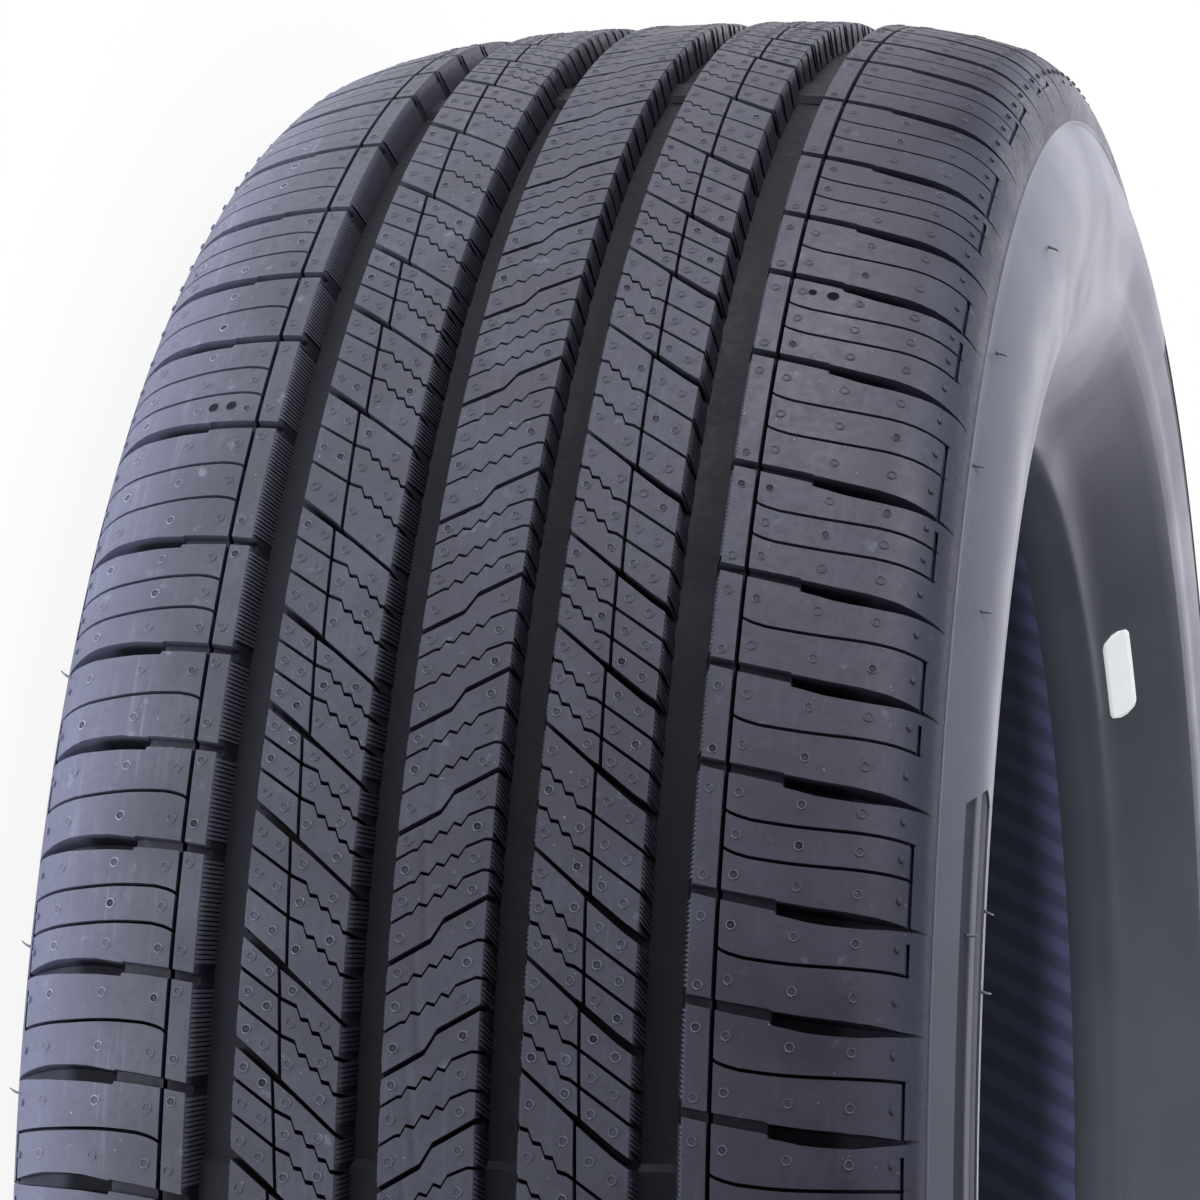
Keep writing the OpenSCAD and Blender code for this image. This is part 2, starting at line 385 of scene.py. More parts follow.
def new_piece(name, points, quads, material, painted_light_and_tone=None, sharp=32.0):
    """A mesh piece from whole arrays of points and quads, smooth but for its sharp edges, that rides on
    the tyre. Painted light and tone, one number a point, tells the materials where to darken it with painted
    shade or a darker tone, and where to make it paler with a painted highlight."""
    mesh = bpy.data.meshes.new(name)
    points, quads = points.reshape(-1, 3), quads.reshape(-1, 4)
    mesh.vertices.add(len(points))
    mesh.vertices.foreach_set("co", points.astype(np.float32).ravel())
    mesh.loops.add(quads.size)
    mesh.loops.foreach_set("vertex_index", quads.astype(np.int32).ravel())
    mesh.polygons.add(len(quads))
    mesh.polygons.foreach_set("loop_start", np.arange(0, quads.size, 4, dtype=np.int32))
    mesh.update(calc_edges=True)
    mesh.validate()
    if painted_light_and_tone is not None:
        shade = mesh.attributes.new("painted_light_and_tone", "FLOAT", "POINT")
        shade.data.foreach_set("value", painted_light_and_tone.astype(np.float32).ravel())
    mesh.polygons.foreach_set("use_smooth", np.ones(len(mesh.polygons), bool))
    mesh.set_sharp_from_angle(angle=math.radians(sharp))
    mesh.materials.append(material)
    piece = bpy.data.objects.new(name, mesh)
    bpy.context.scene.collection.objects.link(piece)
    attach(piece, "root")
    return piece


def join_grids(grids):
    """Points and quads of several grids as one pair of arrays."""
    points = [grid[0].reshape(-1, 3) for grid in grids]
    starts = np.cumsum([0] + [len(part) for part in points[:-1]])
    return np.concatenate(points), np.concatenate([grid[1] + start for start, grid in zip(starts, grids)])


def copy_quads(quads, points_each, count):
    """Quads of one small shape, repeated for a number of copies of its points."""
    return (quads + (np.arange(count) * points_each)[:, None, None]).reshape(-1, 4)


def node(tree, kind, settings=None, **links):
    """Adds a node. Settings go to its own properties or sockets. Links name a socket, or give its number
    after an i, and its source."""
    made = tree.nodes.new("ShaderNode" + kind)
    for key, setting in (settings or {}).items():
        if hasattr(made, key):
            setattr(made, key, setting)
        else:
            made.inputs[key.replace("_", " ")].default_value = setting
    for key, source in links.items():
        numbered = key[0] == "i" and key[1:].isdigit()
        tree.links.new(source, made.inputs[int(key[1:]) if numbered else key.replace("_", " ")])
    return made


def blank(name, roughness, specular):
    """A material with one shader, whose even numbers are set on its own sockets: the material, its tree,
    its shader and Object coordinates. Rubber and coated paper share an IOR of about 1.52."""
    material = bpy.data.materials.new(name)
    material.use_nodes = True
    tree = material.node_tree
    shader = tree.nodes["Principled BSDF"]
    for socket, number in (("Roughness", roughness), ("Specular IOR Level", specular), ("IOR", 1.52)):
        shader.inputs[socket].default_value = number
    return material, tree, shader, node(tree, "TexCoord").outputs["Object"]


def grain(tree, coordinates, millimetres, detail):
    """Soft noise with blobs of about that many millimetres."""
    noise = node(tree, "TexNoise", {"Scale": 1 / (millimetres * MM), "Detail": detail, "Roughness": 0.55},
                 Vector=coordinates)
    return noise.outputs["Fac"]


def ramp(tree, source, low, high, out_low=0.0, out_high=1.0):
    """A smooth step of a value between two levels."""
    made = node(tree, "MapRange", {"interpolation_type": "SMOOTHSTEP", "From_Min": low, "From_Max": high,
                                   "To_Min": out_low, "To_Max": out_high}, Value=source)
    return made.outputs["Result"]


def blend_colours(tree, factor, first, second):
    """Mixes two colours by a factor. Each is a socket, an sRGB hex code or a colour property."""
    mix = node(tree, "Mix", {"data_type": "RGBA"}, i0=factor)
    for socket, colour in ((mix.inputs[6], first), (mix.inputs[7], second)):
        if hasattr(colour, "links"):
            tree.links.new(colour, socket)
        else:
            colour = linear(colour) if isinstance(colour, str) else tuple(colour)
            socket.default_value = colour[:3] + (1.0,)
    return mix.outputs[2]


def sums(tree, operation, first, second=0.0):
    """One sum of one or two values, each a number or a socket."""
    made = node(tree, "Math", {"operation": operation})
    for socket, term in zip(made.inputs, (first, second)):
        if hasattr(term, "links"):
            tree.links.new(term, socket)
        else:
            socket.default_value = term
    return made.outputs[0]


def axle_distance(tree, parts):
    """Distance from the axle line: the root of X squared plus Y squared."""
    return sums(tree, "SQRT", sums(tree, "ADD", *(sums(tree, "MULTIPLY", parts[axis], parts[axis])
                                                   for axis in "XY")))


def bump(tree, shader, height, distance, strength):
    """Raises the surface by a height pattern, given its full height in millimetres."""
    made = node(tree, "Bump", {"Strength": strength, "Distance": distance * MM}, Height=height)
    tree.links.new(made.outputs["Normal"], shader.inputs["Normal"])


def moulded_tread_rubber(tread):
    """Vulcanised tread rubber straight from a polished steel mould: a satin blue-black with a thin pale
    bloom in clouds, and painted shade low in every cut, where the groove colour is laid in as depth grows.
    Depth is the running surface's radius, with its square and fourth power falls, less the axle's distance."""
    colours = bpy.context.scene.tyre_colours
    material, tree, shader, coordinates = blank("moulded_tread_rubber", 0.5, 0.5)
    parts = node(tree, "SeparateXYZ", Vector=coordinates).outputs
    radius = axle_distance(tree, parts)
    across = sums(tree, "ABSOLUTE", parts["Z"])
    squared = sums(tree, "MULTIPLY", across, across)
    fall = sums(tree, "ADD", sums(tree, "MULTIPLY", squared, tread.second / MM),
                sums(tree, "MULTIPLY", sums(tree, "MULTIPLY", squared, squared), tread.fourth / MM ** 3))
    depth = sums(tree, "SUBTRACT", sums(tree, "SUBTRACT", R * MM, fall), radius)
    # Painted shade in the cuts grows with depth. The formula for depth ends at the shoulder's curve, so depth
    # darkens nothing past it.
    low = sums(tree, "MULTIPLY", ramp(tree, depth, 0.3 * MM, 3.2 * MM),
               ramp(tree, across, 88 * MM, 94 * MM, 1.0, 0.0))
    painted_light_and_tone = node(tree, "Attribute", {"attribute_name": "painted_light_and_tone"}).outputs["Fac"]

    # Bloom lies in clouds of some 28 mm over a fine mottle.
    bloom = grain(tree, coordinates, 28, 5.0)
    fine = grain(tree, coordinates, 2.2, 2.0)
    top = blend_colours(tree, ramp(tree, bloom, 0.38, 0.68), colours.tread, "#42434f")
    top = blend_colours(tree, ramp(tree, fine, 0.45, 0.75, 0.0, 0.35), top, "#2c2d37")
    # Rubbed streaks run round the tyre, more of them low down. Real ones are finer than a pixel, and here
    # they are 1.6 mm wide and about twenty times as long, so that they show.
    turn = sums(tree, "ARCTAN2", parts["Y"], parts["X"])
    swept = node(tree, "CombineXYZ", X=parts["Z"], Y=sums(tree, "MULTIPLY", turn, 18 * MM), Z=radius)
    streaks = grain(tree, swept.outputs[0], 1.6, 4.0)
    swipes = sums(tree, "MULTIPLY", ramp(tree, streaks, 0.52, 0.74, 0.0, 0.3),
                  ramp(tree, bloom, 0.42, 0.6, 0.1, 1.0))
    swipes = sums(tree, "MULTIPLY", swipes, ramp(tree, parts["Z"], -60 * MM, -84 * MM, 0.35, 1.1))
    top = blend_colours(tree, swipes, top, "#767888")
    # A few pale scuffs, and dust in specks of 1.1 mm, coarser than real dust so that it shows.
    scuffs = ramp(tree, grain(tree, coordinates, 6, 8.0), 0.63, 0.75, 0.0, 0.3)
    top = blend_colours(tree, scuffs, top, "#878896")
    dust = ramp(tree, grain(tree, coordinates, 1.1, 1.0), 0.765, 0.81, 0.0, 0.6)
    top = blend_colours(tree, dust, top, "#9a9ba6")
    # Both shoulders are paler towards their edge, painted light: the lower one bluer, for the light that the
    # floor below throws on it.
    top = blend_colours(tree, ramp(tree, parts["Z"], 92 * MM, 104 * MM, 0.0, 0.3), top, "#5b5d6c")
    top = blend_colours(tree, ramp(tree, parts["Z"], -66 * MM, -100 * MM, 0.0, 0.32), top, "#6b6e86")
    # The painted shade of the cuts goes on first. Then the point attribute above nought darkens the rubber
    # with painted shade, and below nought makes it paler with a painted highlight.
    colour = blend_colours(tree, low, top, colours.groove)
    colour = blend_colours(tree, ramp(tree, painted_light_and_tone, 0.0, 1.0, 0.0, 0.85), colour, "#0e0e12")
    colour = blend_colours(tree, ramp(tree, painted_light_and_tone, 0.0, -1.0), colour, "#9596a2")
    tree.links.new(colour, shader.inputs["Base Color"])

    rough = sums(tree, "ADD", ramp(tree, bloom, 0.3, 0.7, 0.44, 0.56),
                 ramp(tree, fine, 0.3, 0.7, -0.04, 0.05))
    rough = sums(tree, "ADD", rough, sums(tree, "MULTIPLY", painted_light_and_tone, 0.25))
    tree.links.new(rough, shader.inputs["Roughness"])
    shine = sums(tree, "MULTIPLY", ramp(tree, low, 0.0, 1.0, 0.5, 0.15), ramp(tree, painted_light_and_tone, 0.0, 1.0, 1.0, 0.1))
    shine = sums(tree, "MULTIPLY", shine, ramp(tree, across, 94 * MM, 108 * MM, 1.0, 0.35))
    tree.links.new(shine, shader.inputs["Specular IOR Level"])
    texture = sums(tree, "ADD", sums(tree, "MULTIPLY", fine, 0.6), grain(tree, coordinates, 7, 4.0))
    bump(tree, shader, texture, 0.16, 0.6)
    return material


def moulded_wall_rubber():
    """Sidewall rubber from a blasted mould face: smooth, evenly satin, a little lavender where it is lit,
    darker towards the bead, and darker where the point attribute says: a darker tone in the sunk bands and
    painted shade on the bead seat."""
    colours = bpy.context.scene.tyre_colours
    material, tree, shader, coordinates = blank("moulded_wall_rubber", 0.46, 0.22)
    bloom = grain(tree, coordinates, 45, 4.0)
    fine = grain(tree, coordinates, 1.6, 2.0)
    painted_light_and_tone = node(tree, "Attribute", {"attribute_name": "painted_light_and_tone"}).outputs["Fac"]
    radius = axle_distance(tree, node(tree, "SeparateXYZ", Vector=coordinates).outputs)
    top = blend_colours(tree, ramp(tree, bloom, 0.35, 0.7), colours.wall, "#797b85")
    top = blend_colours(tree, ramp(tree, fine, 0.5, 0.8, 0.0, 0.08), top, "#4a4b57")
    top = blend_colours(tree, ramp(tree, radius, 290 * MM, 262 * MM, 0.0, 0.35), top, "#484b4e")
    # The point attribute darkens the sunk bands, a tone of their own, and the bead seat towards the toe,
    # painted shade.
    top = blend_colours(tree, sums(tree, "MULTIPLY", painted_light_and_tone, 0.75), top, "#25262c")
    tree.links.new(top, shader.inputs["Base Color"])
    rough = sums(tree, "ADD", ramp(tree, bloom, 0.3, 0.7, 0.4, 0.5), sums(tree, "MULTIPLY", painted_light_and_tone, 0.2))
    tree.links.new(rough, shader.inputs["Roughness"])
    bump(tree, shader, sums(tree, "ADD", fine, grain(tree, coordinates, 12, 3.0)), 0.1, 0.5)
    return material


def bladder_pressed_liner():
    """Butyl inner liner, pressed by the bladder: duller, with the slanting vent lines of the bladder. They
    are a sine wave of a sum of the turn and the place across, 12.5 mm from line to line."""
    colours = bpy.context.scene.tyre_colours
    material, tree, shader, coordinates = blank("bladder_pressed_liner", 0.6, 0.4)
    parts = node(tree, "SeparateXYZ", Vector=coordinates).outputs
    turn = sums(tree, "ARCTAN2", parts["Y"], parts["X"])
    slant = sums(tree, "ADD", sums(tree, "MULTIPLY", turn, 0.33), sums(tree, "MULTIPLY", parts["Z"], 0.55))
    wave = sums(tree, "SINE", sums(tree, "MULTIPLY", slant, 2 * math.pi / (12.5 * MM)))
    ridge = ramp(tree, wave, -1.0, 1.0)
    bloom = grain(tree, coordinates, 30, 3.0)
    base = blend_colours(tree, ridge, colours.liner, "#363b50")
    base = blend_colours(tree, ramp(tree, bloom, 0.45, 0.75, 0.0, 0.4), base, "#3a3e50")
    # Towards the sidewalls the liner takes on a painted lavender sheen, a painted reflection of the white
    # floor below, stronger on the ridges.
    away = sums(tree, "ABSOLUTE", parts["Z"])
    painted_sheen = sums(tree, "MULTIPLY", ramp(tree, away, 42 * MM, 58 * MM), ramp(tree, ridge, 0.0, 1.0, 0.6, 1.0))
    base = blend_colours(tree, painted_sheen, base, "#9095bb")
    tree.links.new(base, shader.inputs["Base Color"])
    bump(tree, shader, ridge, 0.5, 0.6)
    return material


def coated_paper():
    """Coated paper label, plain: smooth, with a faint fibre and a painted glow that stands for the glow of an
    optical brightener. Fibres are drawn 1.2 mm wide, coarser than real ones, so that they show."""
    colours = bpy.context.scene.tyre_colours
    material, tree, shader, coordinates = blank("coated_paper", 0.55, 0.4)
    fibre = grain(tree, coordinates, 1.2, 3.0)
    colour = blend_colours(tree, ramp(tree, fibre, 0.4, 0.7, 0.0, 0.4), colours.label, "#cfd9d2")
    tree.links.new(colour, shader.inputs["Base Color"])
    # Painted glow: the label gives off light of its own colour at half strength.
    tree.links.new(colour, shader.inputs["Emission Color"])
    shader.inputs["Emission Strength"].default_value = 0.5
    return material


def finish(maker, *details):
    """The material named after its maker, made once and then shared."""
    return bpy.data.materials.get(maker.__name__) or maker(*details)


def middle_rib_grid(tread):
    """Middle rib: rows follow every kink of its slits; a kinked cut opens each pitch, and two or three
    fine slits follow it."""
    sizes = tread.sizes
    rows = Rows(tread)
    rows.wall(0, mirrored=True)
    rows.plain(-9.2, -7.3, -6.2, -5.6, -5.0, -4.5, -4.0, -3.5, -3.0, -2.45, -1.9, -1.4, 0.4, 1.3, 1.9, 3.6,
               5.1, 7.4, 9.6)
    rows.wall(0)

    def faint_channel(across, share):
        """A channel 0.2 mm deep whose middle drifts across by 2.9 mm over each pitch."""
        return 0.2 * np.clip(1.4 - 1.4 * np.abs(across + 2.4 + 2.9 * share), 0, 1)
    made = Stations(tread, 1, rows, dip=faint_channel)
    made.cut(middle_cut_line, 0, sizes.middle_cut, sizes.cut_depth, 0.08, ends=True)
    between = midway(middle_cut_line, middle_slit_line)
    made.add(between, tread.stand((0.2, 0.16)))
    gaps = ((0.56, 0.43), (0.87, 0.68), (0.9, 0.9))
    for count, (slit, gap) in enumerate(zip(MIDDLE_SLITS, gaps)):
        on = ~tread.short if count == 2 else None
        made.cut(middle_slit_line, tread.stand(slit), sizes.rib_slit, sizes.cut_depth, on=on)
        made.add(middle_slit_line if count == 0 else between, tread.stand(gap), on=on)
    return made.grid()


def second_rib_grid(tread, side):
    """Second rib: a slanted cut, wide outside and narrow inside, opens each pitch, and two fine slits
    with stairs follow it. A slit that runs round drifts across from cut to cut."""
    sizes = tread.sizes
    shift = rib_shift(side)
    ring_slit, drift = (35.25, 1.8) if side < 0 else (34.9, -1.0)
    rows = Rows(tread)
    rows.wall(1)
    stairs = np.array(STAIR_ACROSS[2:]) - shift
    rows.plain(*stairs[(stairs > tread.edge_2 + 0.5) & (stairs < ring_slit + min(drift, 0.0) - 1.1)])
    rows.slit(ring_slit, 0.45, 0.05, sizes.cut_depth, sway=drift)
    rows.plain(ring_slit + 3.2, ring_slit + 5.5, ring_slit + 8.0)
    rows.wall(2)
    made = Stations(tread, side, rows, shift)

    def width(across):
        """Width of the slanted cut along the tread: narrow inside, then a step to its wide half."""
        return np.interp(across, (21.7, 34.6, 36.4, 47), (1.3, 1.45, 2.4, 2.6))
    made.cut(rib_cut_line, 0, width, sizes.cut_depth + 0.6, 0.08, ends=True)
    between = midway(rib_cut_line, rib_slit_line)
    made.add(between, 0.17)
    for share, line, gap in zip(RIB_SLITS, (rib_slit_line, between), (0.5, 0.84)):
        made.cut(rib_slit_line, share, 1.25 * sizes.rib_slit, sizes.cut_depth)
        made.add(line, gap)
    return made.grid()


def shoulder_grid(tread, side):
    """Shoulder: an edge strip and a ring slit, then cross grooves that start shallow over a tie bar and
    run deep to the edge, with one or two fine slits between them. A leg that turns along the edge joins
    groove and first slit on odd pitches, and last slit and next groove on even ones."""
    sizes = tread.sizes
    ring, half, tie_bar = tread.ring, sizes.ring_slit / 2, sizes.tie_bar_depth
    rows = Rows(tread)
    rows.wall(3)
    rows.plain(60.6, ring - half - 0.4)
    rows.slit(ring, half, 0.05, sizes.cut_depth)
    rows.plain(65.2, 67, 70, 73, BAR_END, DEEP_START, 80, 84, 88, 92, 95, 98, 100.5, 102.4)
    rows.slit(104.5, 0.4, 0.1, leg=3.0)
    rows.plain(105.6, 106.4, 107.1, 107.7, TREAD_END)
    made = Stations(tread, side, rows)

    def groove_width(across):
        wide = sizes.cross_groove
        return np.interp(across, (57, 64, BAR_END, DEEP_START, 84, 90, 97, 103, 106.5, 108.4),
                         (2.3, 2.5, 2.8, wide, 1.17 * wide, 1.2 * wide, wide, 1.6, 0.7, 0.4))

    def groove_depth(across):
        return np.interp(across, (55, 64, BAR_END, DEEP_START, 96, 104, 107.6),
                         (tie_bar + 1.6, tie_bar, tie_bar, 7.4, 7.0, 3.0, 0.0))

    def slit_depth(across):
        return np.interp(across, (ring, ring + 0.3, 100, 104.3, 105.0), (0, sizes.cut_depth, 5.0, 3.0, 0.0))

    def groove_drift(across):
        """The deep stretch of a cross groove lies a little further down than its shallow one."""
        return -0.6 * (across > BAR_END)
    short, even, odd = tread.short, tread.even, ~tread.even
    every = even | odd
    between = midway(tread.groove_line, tread.slit_line)
    first, second = (tread.stand(shares) for shares in SHOULDER_SLITS)
    made.cut(tread.groove_line, 0, groove_width, groove_depth, 0.08, active=(None, None, odd, odd), ends=True,
             drift=groove_drift)
    made.add(between, tread.stand((0.25, 0.18)), active=odd)
    made.cut(tread.slit_line, first, sizes.shoulder_slit, slit_depth,
             active=(odd, every, even | ~short, even | ~short))
    made.add(tread.slit_line, 0.49, on=~short, active=every)
    made.cut(tread.slit_line, second, sizes.shoulder_slit, slit_depth, on=~short,
             active=(every, every, even, even))
    made.add(between, tread.stand((0.7, 0.8)), active=even)
    made.add(tread.groove_line, 1.0, -4.2, active=even)
    made.add(tread.groove_line, 1.0, -4.1)
    return made.grid()


def add_grid(name, grid, side, material):
    """One rib or shoulder as a piece, from its places across, along and radius."""
    across, along, radius = grid
    points = place(across, along, radius)
    quads = grid_faces(len(points), points.shape[1], True, side < 0)
    return new_piece(name, points, quads, material)


def wall_mouths(tread, side, wall):
    """Where cuts open through a wall: centres along the tread and half widths, sorted."""
    rim = tread.walls[wall][0]
    slit_reach = 0.6
    if wall == 0:
        marks = [(tread.along(middle_cut_line, side * rim), 1.5)]
        marks += [(tread.along(middle_slit_line, side * rim, share=tread.stand(shares)), slit_reach)
                  for shares in MIDDLE_SLITS]
    elif wall in (1, 2):
        at = rim + rib_shift(side)
        marks = [(tread.along(rib_cut_line, at, side), 1.0 if wall == 1 else 2.4)]
        marks += [(tread.along(rib_slit_line, at, side, share), slit_reach) for share in RIB_SLITS]
    else:
        marks = [(tread.along(tread.groove_line, rim, side), 1.9)]
    centres = np.concatenate([centre for centre, _ in marks])
    reach = np.repeat([half for _, half in marks], len(tread.low))
    order = np.argsort(centres)
    return centres[order], reach[order]


def comb_grid(tread, side, wall):
    """Serrations on one groove wall: a sheet of raised bars with a full and a half notch in turn, all
    leaning the same way, left out where a cut opens through the wall."""
    sizes = tread.sizes
    rim, lean, facing = tread.walls[wall]
    count = int(round(TURN / sizes.comb_step))
    step = TURN / count
    full_half, short_half = 0.26, 0.24
    steps = np.array((-full_half, 0.0, full_half, step / 2 - short_half, step / 2, step / 2 + short_half))
    along = (np.arange(count)[:, None] * step + steps).reshape(-1)
    centres, reach = wall_mouths(tread, side, wall)
    spread = np.concatenate([centres - TURN, centres, centres + TURN])
    widths = np.tile(reach, 3) + 0.4
    near = np.clip(np.searchsorted(spread, along), 1, len(spread) - 1)
    clear = np.abs(along - spread[near]) > widths[near]
    clear &= np.abs(along - spread[near - 1]) > widths[near - 1]
    # Painted shade of the full and the half notch at four falls down the wall. The bars are paler than the
    # wall.
    falls = np.array((0.25, 0.9, 0.5 * sizes.groove_depth, sizes.groove_depth))
    notch = np.zeros((6, 4))
    notch[1], notch[4] = (0.2, 0.6, 0.6, 0.3), (0.2, 0.6, 0.4, 0)
    notch = np.tile(notch, (count, 1))
    bar = -0.3 if wall == 3 else -0.14
    heights = np.where(notch > 0, -0.1, sizes.comb_proud) * np.array((0.05, 1, 1, 1))
    lean_along = -facing * 1.7 * falls / sizes.groove_depth
    across = rim + facing * (run(falls, lean) + heights)
    radius = tread.surface(np.full(heights.shape, rim)) - falls
    points = place(side * across, along[:, None] + lean_along, radius)
    quads = grid_faces(len(along), len(falls), True, side < 0)
    kept = clear & np.roll(clear, -1)
    quads = quads.reshape(len(along), len(falls) - 1, 4)[kept].reshape(-1, 4)
    return points, quads, np.where(notch > 0, notch, bar)


def groove_span(tread, wall, depth):
    """Places across of a wide groove's two walls at a depth, the one nearer the middle first."""
    (near, near_lean, _), (far, far_lean, _) = tread.walls[wall:wall + 2]
    return near + run(depth, near_lean), far - run(depth, far_lean)


def floor_grid(tread, side, wall):
    """Floor of a wide groove between the feet of its two walls, a little lower in its middle half."""
    depth, tuck = tread.sizes.groove_depth, 0.05
    near, far = groove_span(tread, wall, depth)
    across = np.linspace(near - tuck, far + tuck, 4)
    sag = np.array((0.0, -0.25, -0.25, 0.0))
    along = np.linspace(0, TURN, 360, endpoint=False)
    radius = tread.surface(across) - depth + sag + 0 * along[:, None]
    return place(side * across, along[:, None], radius), grid_faces(len(along), 4, True, side < 0)


def wear_bar_grid(tread, side, wall):
    """Six wear bars in a wide groove, each a low block right across its floor with two sloping ends."""
    count, height, depth = 6, 1.6, tread.sizes.groove_depth
    across = np.array(groove_span(tread, wall, depth - height))
    along = (START + np.arange(count) * TURN / count)[:, None] + np.array((-8.0, -6.0, 6.0, 8.0))
    rise = np.array((0.0, height, height, 0.0))[:, None]
    radius = tread.surface(across) - depth + rise
    points = place(side * across, along[:, :, None], radius)
    return points, copy_quads(grid_faces(4, 2, False, side < 0), 8, count)


# Places across of the columns of vents in the two halves: second rib, strip and shoulder. Those of the
# strip come with how far they stand above a cross groove and below the next.
RIB_COLUMNS = {-1: (44.0, 39.3, 33.3, 25.3), 1: (42.7, 37.5, 31.5, 23.5)}
STRIP_COLUMN = {-1: (61.5, 6.0, 3.7), 1: (60.3, 3.7, 6.0)}
SHOULDER_COLUMNS = {-1: (67.5, 81.3, 96.0, 103.0), 1: (67.0, 81.0, 94.2, 102.6)}
MIDDLE_COLUMNS = (-8.7, 7.5)


def vent_places(tread):
    """Across and along of every vent: the middle of each block between cuts, in every column."""
    short, every = tread.short, np.ones(len(tread.low), bool)
    found = []

    def column(across, *lines):
        """One vent between each two lines of a pitch, in the pitches that come with the first of them."""
        for (low, on), (high, _) in zip(lines[:-1], lines[1:]):
            found.append((np.full(on.sum(), across), 0.5 * (low + high)[on]))
    for side, _ in SIDES:
        for across in RIB_COLUMNS[side]:
            at = across + rib_shift(side)
            cut = tread.along(rib_cut_line, at, side)
            slits = [(tread.along(rib_slit_line, at, side, share), every) for share in RIB_SLITS]
            column(side * across, (cut, every), *slits, (cut + tread.length, every))
        strip, above_cut, below_next = STRIP_COLUMN[side]
        cut = tread.along(tread.groove_line, 61.0, side)
        for along in (cut + above_cut, cut + tread.length - below_next):
            found.append((np.full(len(cut), side * strip), along))
        for across in SHOULDER_COLUMNS[side]:
            cut = tread.along(tread.groove_line, across, side)
            first, second = (tread.along(tread.slit_line, across, side, tread.stand(shares))
                             for shares in SHOULDER_SLITS)
            upper = cut + tread.length
            column(side * across, (cut, every), (first, every), (np.where(short, upper, second), every))
            column(side * across, (second, ~short), (upper, every))
    for across in MIDDLE_COLUMNS:
        cut = tread.along(middle_cut_line, across)
        first, second, third = (tread.along(middle_slit_line, across, share=tread.stand(shares))
                                for shares in MIDDLE_SLITS)
        column(across, (cut, every), (first, every), (second, every))
        column(across, (np.where(short, second, third), every), (cut + tread.length, every))
        column(across, (second, ~short), (third, ~short))
    return tuple(np.concatenate(part) for part in zip(*found))


def surface_frames(tread, across, along):
    """Point, outward direction and direction along for places on the running surface."""
    step = 0.05
    here = place(across, along, tread.surface(across))
    beside = place(across + step, along, tread.surface(across + step))
    ahead = place(across, along + step, tread.surface(across))
    sideways, forward = beside - here, ahead - here
    sideways /= np.linalg.norm(sideways, axis=-1, keepdims=True)
    forward /= np.linalg.norm(forward, axis=-1, keepdims=True)
    outward = np.cross(sideways, forward)
    return here, outward, forward, sideways


def turned_discs(frames, radii, heights, sides):
    """A profile of circles turned round every place. Each circle has a radius, along the cosine forward and
    the sine sideways of the turn, and a height outward, all in millimetres."""
    here, outward, forward, sideways = (part[:, None, None, :] for part in frames)
    turn = (np.arange(sides) * 2 * math.pi / sides)[:, None, None]
    flat = np.cos(turn) * forward + np.sin(turn) * sideways
    circles = radii.shape[1]
    points = here + flat * (radii * MM)[:, None, :, None]
    points = points + outward * (heights * MM)[..., None, :, None]
    quads = copy_quads(grid_faces(sides, circles, True), sides * circles, len(radii))
    return points, quads[:, ::-1]


def vent_grid(tread, sizes):
    """Trimmed vents: a low ring of rubber round a small disc, a profile of four circles turned round each
    place. Near the sidewalls they stand up as domes. Crests carry a painted highlight and insides painted
    shade. Some are darker than others."""
    across, along = vent_places(tread)
    dome = (np.abs(across) > 100)[:, None]
    radii = np.where(dome, (0.68, 0.6, 0.4, 0.02), (1.0, 0.84, 0.62, 0.02)) * sizes.ring_radius
    heights = np.where(dome, (-0.2, 1.9, 2.2, 2.4), (-0.04, 1.0, 0.15, 0.15)) * sizes.ring_height
    points, quads = turned_discs(surface_frames(tread, across, along), radii, heights, 8)
    # The golden ratio's steps spread the strengths evenly, and the fourth power keeps most of them low.
    strength = np.modf(0.618034 * np.arange(len(across)))[0][:, None]
    # Painted light round each vent: the crest is painted paler, and on the lower shoulder its outer edge too,
    # while the inside of the ring and the disc get painted shade.
    painted_light_and_tone = np.where(across[:, None] < -70, (-0.3, -0.65, 0.35, 0.0), (0.1, -0.45, 0.3, 0.0))
    painted_light_and_tone = painted_light_and_tone * (0.4 + strength) + np.array((0, 0, 1, 1)) * (0.5 * strength ** 4 - 0.05)
    painted_light_and_tone = np.where(dome, 0.0, painted_light_and_tone)[:, None, :]
    return points, quads, np.broadcast_to(painted_light_and_tone, points.shape[:3])


def tube_grid(path, radii, sides=6):
    """A thin tapering tube along each path: rings of points square to the path's general direction."""
    direction = path[:, -1] - path[:, 0]
    direction /= np.linalg.norm(direction, axis=-1, keepdims=True)
    helper = np.where(np.abs(direction[:, 2:3]) < 0.8, np.array((0, 0, 1.0)), np.array((1.0, 0, 0)))
    first = np.cross(direction, helper)
    first /= np.linalg.norm(first, axis=-1, keepdims=True)
    second = np.cross(direction, first)
    turn = (np.arange(sides) * 2 * math.pi / sides)[:, None]
    ring = np.cos(turn) * first[:, None, :] + np.sin(turn) * second[:, None, :]
    points = path[:, None, :, :] + ring[:, :, None, :] * radii[:, None]
    return points, copy_quads(grid_faces(sides, path.shape[1], True), sides * path.shape[1], len(path))


# The curve with which a sidewall rolls over towards its bead: its strength, and how far in it goes on
# before a cone follows. Then the length from a bead's flange face to its toe.
ROLL_CURVE, ROLL_REACH = 0.0266, 16.3
BEAD_LENGTH = 16.5


